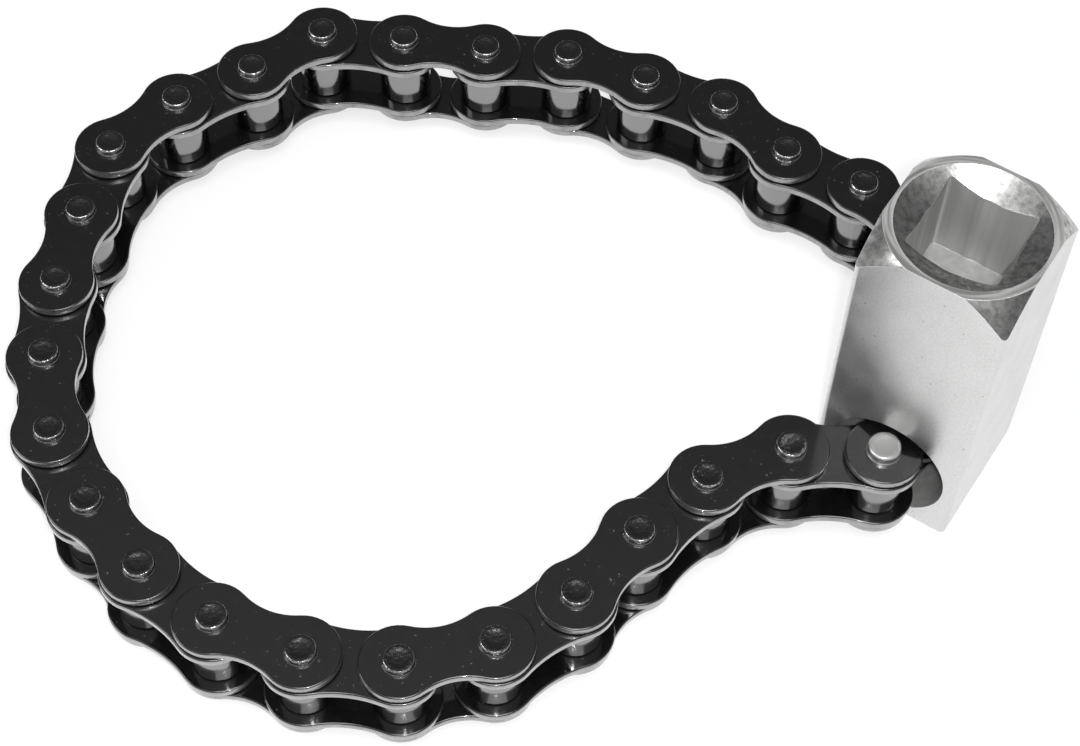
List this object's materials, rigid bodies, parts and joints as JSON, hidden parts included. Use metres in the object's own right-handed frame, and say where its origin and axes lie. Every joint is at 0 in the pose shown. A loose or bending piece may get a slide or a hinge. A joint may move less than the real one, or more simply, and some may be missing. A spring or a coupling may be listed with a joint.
{
  "type": "chain oil filter wrench",
  "caption": "Chain oil filter wrench: an endless roller chain threaded through the cross bore of a square drive block with a square socket in its end.",
  "frame": {"origin": "centre of the drive block's base, on the axis of its drive socket", "axes": "+Z along the drive socket towards its mouth; +Y along the cross bore that the chain runs through; the chain loop lies towards -X"},
  "size_m": [0.1377, 0.1232, 0.0521],
  "materials": {
    "plated_steel": "bright nickel or zinc plated steel, satin",
    "black_oxide_steel": "black oxide, oiled, semi-gloss",
    "roller_steel": "plain rolled steel, semi-gloss",
    "bright_steel": "plain ground steel"
  },
  "bodies": {
    "block": {"drive_block": "plated_steel"},
    "closing": {"closing_link": "black_oxide_steel", "closing_pins": "bright_steel"},
    "inner_01": {"inner_link_01": "black_oxide_steel"},
    "outer_01": {"outer_link_01": "black_oxide_steel"},
    "inner_02": {"inner_link_02": "black_oxide_steel"},
    "outer_02": {"outer_link_02": "black_oxide_steel"},
    "inner_03": {"inner_link_03": "black_oxide_steel"},
    "outer_03": {"outer_link_03": "black_oxide_steel"},
    "inner_04": {"inner_link_04": "black_oxide_steel"},
    "outer_04": {"outer_link_04": "black_oxide_steel"},
    "inner_05": {"inner_link_05": "black_oxide_steel"},
    "outer_05": {"outer_link_05": "black_oxide_steel"},
    "inner_06": {"inner_link_06": "black_oxide_steel"},
    "outer_06": {"outer_link_06": "black_oxide_steel"},
    "inner_07": {"inner_link_07": "black_oxide_steel"},
    "outer_07": {"outer_link_07": "black_oxide_steel"},
    "inner_08": {"inner_link_08": "black_oxide_steel"},
    "outer_08": {"outer_link_08": "black_oxide_steel"},
    "inner_09": {"inner_link_09": "black_oxide_steel"},
    "outer_09": {"outer_link_09": "black_oxide_steel"},
    "inner_10": {"inner_link_10": "black_oxide_steel"},
    "outer_10": {"outer_link_10": "black_oxide_steel"},
    "inner_11": {"inner_link_11": "black_oxide_steel"},
    "outer_11": {"outer_link_11": "black_oxide_steel"},
    "inner_12": {"inner_link_12": "black_oxide_steel"},
    "outer_12": {"outer_link_12": "black_oxide_steel"},
    "inner_13": {"inner_link_13": "black_oxide_steel"},
    "outer_13": {"outer_link_13": "black_oxide_steel"},
    "inner_14": {"inner_link_14": "black_oxide_steel"},
    "outer_14": {"outer_link_14": "black_oxide_steel"},
    "inner_15": {"inner_link_15": "black_oxide_steel"},
    "roller_01": {"roller_01": "roller_steel"},
    "roller_02": {"roller_02": "roller_steel"},
    "roller_03": {"roller_03": "roller_steel"},
    "roller_04": {"roller_04": "roller_steel"},
    "roller_05": {"roller_05": "roller_steel"},
    "roller_06": {"roller_06": "roller_steel"},
    "roller_07": {"roller_07": "roller_steel"},
    "roller_08": {"roller_08": "roller_steel"},
    "roller_09": {"roller_09": "roller_steel"},
    "roller_10": {"roller_10": "roller_steel"},
    "roller_11": {"roller_11": "roller_steel"},
    "roller_12": {"roller_12": "roller_steel"},
    "roller_13": {"roller_13": "roller_steel"},
    "roller_14": {"roller_14": "roller_steel"},
    "roller_15": {"roller_15": "roller_steel"},
    "roller_16": {"roller_16": "roller_steel"},
    "roller_17": {"roller_17": "roller_steel"},
    "roller_18": {"roller_18": "roller_steel"},
    "roller_19": {"roller_19": "roller_steel"},
    "roller_20": {"roller_20": "roller_steel"},
    "roller_21": {"roller_21": "roller_steel"},
    "roller_22": {"roller_22": "roller_steel"},
    "roller_23": {"roller_23": "roller_steel"},
    "roller_24": {"roller_24": "roller_steel"},
    "roller_25": {"roller_25": "roller_steel"},
    "roller_26": {"roller_26": "roller_steel"},
    "roller_27": {"roller_27": "roller_steel"},
    "roller_28": {"roller_28": "roller_steel"}
  },
  "joints": [
    {"name": "chain_slide", "type": "slide", "parent": "block", "child": "closing", "axis": [0, 1, 0], "range_m": [-0.004, 0]},
    {"name": "pivot_01", "type": "hinge", "parent": "closing", "child": "inner_01", "pos_m": [0, -0.013, 0.00935], "axis": [0, 0, 1], "range_deg": [0, 22]},
    {"name": "pivot_02", "type": "hinge", "parent": "inner_01", "child": "outer_01", "pos_m": [-0.01089, -0.01954, 0.00935], "axis": [0, 0, 1], "range_deg": [0, 22]},
    {"name": "pivot_03", "type": "hinge", "parent": "outer_01", "child": "inner_02", "pos_m": [-0.01799, -0.03007, 0.00935], "axis": [0, 0, 1], "range_deg": [0, 22]},
    {"name": "pivot_04", "type": "hinge", "parent": "inner_02", "child": "outer_02", "pos_m": [-0.02127, -0.04234, 0.00935], "axis": [0, 0, 1], "range_deg": [0, 22]},
    {"name": "pivot_05", "type": "hinge", "parent": "outer_02", "child": "inner_03", "pos_m": [-0.02326, -0.05488, 0.00935], "axis": [0, 0, 1], "range_deg": [0, 22]},
    {"name": "pivot_06", "type": "hinge", "parent": "inner_03", "child": "outer_03", "pos_m": [-0.02822, -0.06657, 0.00935], "axis": [0, 0, 1], "range_deg": [0, 22]},
    {"name": "pivot_07", "type": "hinge", "parent": "outer_03", "child": "inner_04", "pos_m": [-0.03705, -0.07571, 0.00935], "axis": [0, 0, 1], "range_deg": [0, 22]},
    {"name": "pivot_08", "type": "hinge", "parent": "inner_04", "child": "outer_04", "pos_m": [-0.04836, -0.08147, 0.00935], "axis": [0, 0, 1], "range_deg": [0, 22]},
    {"name": "pivot_09", "type": "hinge", "parent": "outer_04", "child": "inner_05", "pos_m": [-0.06083, -0.0839, 0.00935], "axis": [0, 0, 1], "range_deg": [0, 22]},
    {"name": "pivot_10", "type": "hinge", "parent": "inner_05", "child": "outer_05", "pos_m": [-0.0735, -0.08301, 0.00935], "axis": [0, 0, 1], "range_deg": [0, 22]},
    {"name": "pivot_11", "type": "hinge", "parent": "outer_05", "child": "inner_06", "pos_m": [-0.08558, -0.07909, 0.00935], "axis": [0, 0, 1], "range_deg": [0, 22]},
    {"name": "pivot_12", "type": "hinge", "parent": "inner_06", "child": "outer_06", "pos_m": [-0.09679, -0.07312, 0.00935], "axis": [0, 0, 1], "range_deg": [0, 22]},
    {"name": "pivot_13", "type": "hinge", "parent": "outer_06", "child": "inner_07", "pos_m": [-0.10545, -0.06384, 0.00935], "axis": [0, 0, 1], "range_deg": [0, 22]},
    {"name": "pivot_14", "type": "hinge", "parent": "inner_07", "child": "outer_07", "pos_m": [-0.11218, -0.05307, 0.00935], "axis": [0, 0, 1], "range_deg": [-22, 22]},
    {"name": "pivot_30", "type": "hinge", "parent": "closing", "child": "inner_15", "pos_m": [0, -0.0003, 0.00935], "axis": [0, 0, -1], "range_deg": [0, 1.5]},
    {"name": "pivot_29", "type": "hinge", "parent": "inner_15", "child": "outer_14", "pos_m": [0, 0.0124, 0.00935], "axis": [0, 0, -1], "range_deg": [0, 22]},
    {"name": "pivot_28", "type": "hinge", "parent": "outer_14", "child": "inner_14", "pos_m": [0, 0.0251, 0.00935], "axis": [0, 0, -1], "range_deg": [0, 22]},
    {"name": "pivot_27", "type": "hinge", "parent": "inner_14", "child": "outer_13", "pos_m": [-0.01231, 0.02199, 0.00935], "axis": [0, 0, -1], "range_deg": [0, 22]},
    {"name": "pivot_26", "type": "hinge", "parent": "outer_13", "child": "inner_13", "pos_m": [-0.02431, 0.02617, 0.00935], "axis": [0, 0, -1], "range_deg": [0, 22]},
    {"name": "pivot_25", "type": "hinge", "parent": "inner_13", "child": "outer_12", "pos_m": [-0.03699, 0.02551, 0.00935], "axis": [0, 0, -1], "range_deg": [0, 22]},
    {"name": "pivot_24", "type": "hinge", "parent": "outer_12", "child": "inner_12", "pos_m": [-0.04941, 0.02815, 0.00935], "axis": [0, 0, -1], "range_deg": [0, 22]},
    {"name": "pivot_23", "type": "hinge", "parent": "inner_12", "child": "outer_11", "pos_m": [-0.06192, 0.02594, 0.00935], "axis": [0, 0, -1], "range_deg": [0, 22]},
    {"name": "pivot_22", "type": "hinge", "parent": "outer_11", "child": "inner_11", "pos_m": [-0.07439, 0.02352, 0.00935], "axis": [0, 0, -1], "range_deg": [0, 22]},
    {"name": "pivot_21", "type": "hinge", "parent": "inner_11", "child": "outer_10", "pos_m": [-0.08549, 0.01736, 0.00935], "axis": [0, 0, -1], "range_deg": [0, 22]},
    {"name": "pivot_20", "type": "hinge", "parent": "outer_10", "child": "inner_10", "pos_m": [-0.097, 0.01199, 0.00935], "axis": [0, 0, -1], "range_deg": [0, 22]},
    {"name": "pivot_19", "type": "hinge", "parent": "inner_10", "child": "outer_09", "pos_m": [-0.10832, 0.00623, 0.00935], "axis": [0, 0, -1], "range_deg": [0, 22]},
    {"name": "pivot_18", "type": "hinge", "parent": "outer_09", "child": "inner_09", "pos_m": [-0.11287, -0.00563, 0.00935], "axis": [0, 0, -1], "range_deg": [0, 22]},
    {"name": "pivot_17", "type": "hinge", "parent": "inner_09", "child": "outer_08", "pos_m": [-0.11864, -0.01694, 0.00935], "axis": [0, 0, -1], "range_deg": [0, 22]},
    {"name": "pivot_16", "type": "hinge", "parent": "outer_08", "child": "inner_08", "pos_m": [-0.12128, -0.02937, 0.00935], "axis": [0, 0, -1], "range_deg": [0, 22]},
    {"name": "roller_01_turn", "type": "hinge", "parent": "inner_01", "child": "roller_01", "pos_m": [0, -0.013, 0.00935], "axis": [0, 0, 1], "continuous": true},
    {"name": "roller_02_turn", "type": "hinge", "parent": "inner_01", "child": "roller_02", "pos_m": [-0.01089, -0.01954, 0.00935], "axis": [0, 0, 1], "continuous": true},
    {"name": "roller_03_turn", "type": "hinge", "parent": "inner_02", "child": "roller_03", "pos_m": [-0.01799, -0.03007, 0.00935], "axis": [0, 0, 1], "continuous": true},
    {"name": "roller_04_turn", "type": "hinge", "parent": "inner_02", "child": "roller_04", "pos_m": [-0.02127, -0.04234, 0.00935], "axis": [0, 0, 1], "continuous": true},
    {"name": "roller_05_turn", "type": "hinge", "parent": "inner_03", "child": "roller_05", "pos_m": [-0.02326, -0.05488, 0.00935], "axis": [0, 0, 1], "continuous": true},
    {"name": "roller_06_turn", "type": "hinge", "parent": "inner_03", "child": "roller_06", "pos_m": [-0.02822, -0.06657, 0.00935], "axis": [0, 0, 1], "continuous": true},
    {"name": "roller_07_turn", "type": "hinge", "parent": "inner_04", "child": "roller_07", "pos_m": [-0.03705, -0.07571, 0.00935], "axis": [0, 0, 1], "continuous": true},
    {"name": "roller_08_turn", "type": "hinge", "parent": "inner_04", "child": "roller_08", "pos_m": [-0.04836, -0.08147, 0.00935], "axis": [0, 0, 1], "continuous": true},
    {"name": "roller_09_turn", "type": "hinge", "parent": "inner_05", "child": "roller_09", "pos_m": [-0.06083, -0.0839, 0.00935], "axis": [0, 0, 1], "continuous": true},
    {"name": "roller_10_turn", "type": "hinge", "parent": "inner_05", "child": "roller_10", "pos_m": [-0.0735, -0.08301, 0.00935], "axis": [0, 0, 1], "continuous": true},
    {"name": "roller_11_turn", "type": "hinge", "parent": "inner_06", "child": "roller_11", "pos_m": [-0.08558, -0.07909, 0.00935], "axis": [0, 0, 1], "continuous": true},
    {"name": "roller_12_turn", "type": "hinge", "parent": "inner_06", "child": "roller_12", "pos_m": [-0.09679, -0.07312, 0.00935], "axis": [0, 0, 1], "continuous": true},
    {"name": "roller_13_turn", "type": "hinge", "parent": "inner_07", "child": "roller_13", "pos_m": [-0.10545, -0.06384, 0.00935], "axis": [0, 0, 1], "continuous": true},
    {"name": "roller_14_turn", "type": "hinge", "parent": "inner_07", "child": "roller_14", "pos_m": [-0.11218, -0.05307, 0.00935], "axis": [0, 0, 1], "continuous": true},
    {"name": "roller_15_turn", "type": "hinge", "parent": "inner_08", "child": "roller_15", "pos_m": [-0.11714, -0.04137, 0.00935], "axis": [0, 0, 1], "continuous": true},
    {"name": "roller_16_turn", "type": "hinge", "parent": "inner_08", "child": "roller_16", "pos_m": [-0.12128, -0.02937, 0.00935], "axis": [0, 0, 1], "continuous": true},
    {"name": "roller_17_turn", "type": "hinge", "parent": "inner_09", "child": "roller_17", "pos_m": [-0.11864, -0.01694, 0.00935], "axis": [0, 0, 1], "continuous": true},
    {"name": "roller_18_turn", "type": "hinge", "parent": "inner_09", "child": "roller_18", "pos_m": [-0.11287, -0.00563, 0.00935], "axis": [0, 0, 1], "continuous": true},
    {"name": "roller_19_turn", "type": "hinge", "parent": "inner_10", "child": "roller_19", "pos_m": [-0.10832, 0.00623, 0.00935], "axis": [0, 0, 1], "continuous": true},
    {"name": "roller_20_turn", "type": "hinge", "parent": "inner_10", "child": "roller_20", "pos_m": [-0.097, 0.01199, 0.00935], "axis": [0, 0, 1], "continuous": true},
    {"name": "roller_21_turn", "type": "hinge", "parent": "inner_11", "child": "roller_21", "pos_m": [-0.08549, 0.01736, 0.00935], "axis": [0, 0, 1], "continuous": true},
    {"name": "roller_22_turn", "type": "hinge", "parent": "inner_11", "child": "roller_22", "pos_m": [-0.07439, 0.02352, 0.00935], "axis": [0, 0, 1], "continuous": true},
    {"name": "roller_23_turn", "type": "hinge", "parent": "inner_12", "child": "roller_23", "pos_m": [-0.06192, 0.02594, 0.00935], "axis": [0, 0, 1], "continuous": true},
    {"name": "roller_24_turn", "type": "hinge", "parent": "inner_12", "child": "roller_24", "pos_m": [-0.04941, 0.02815, 0.00935], "axis": [0, 0, 1], "continuous": true},
    {"name": "roller_25_turn", "type": "hinge", "parent": "inner_13", "child": "roller_25", "pos_m": [-0.03699, 0.02551, 0.00935], "axis": [0, 0, 1], "continuous": true},
    {"name": "roller_26_turn", "type": "hinge", "parent": "inner_13", "child": "roller_26", "pos_m": [-0.02431, 0.02617, 0.00935], "axis": [0, 0, 1], "continuous": true},
    {"name": "roller_27_turn", "type": "hinge", "parent": "inner_14", "child": "roller_27", "pos_m": [-0.01231, 0.02199, 0.00935], "axis": [0, 0, 1], "continuous": true},
    {"name": "roller_28_turn", "type": "hinge", "parent": "inner_14", "child": "roller_28", "pos_m": [0, 0.0251, 0.00935], "axis": [0, 0, 1], "continuous": true}
  ]
}
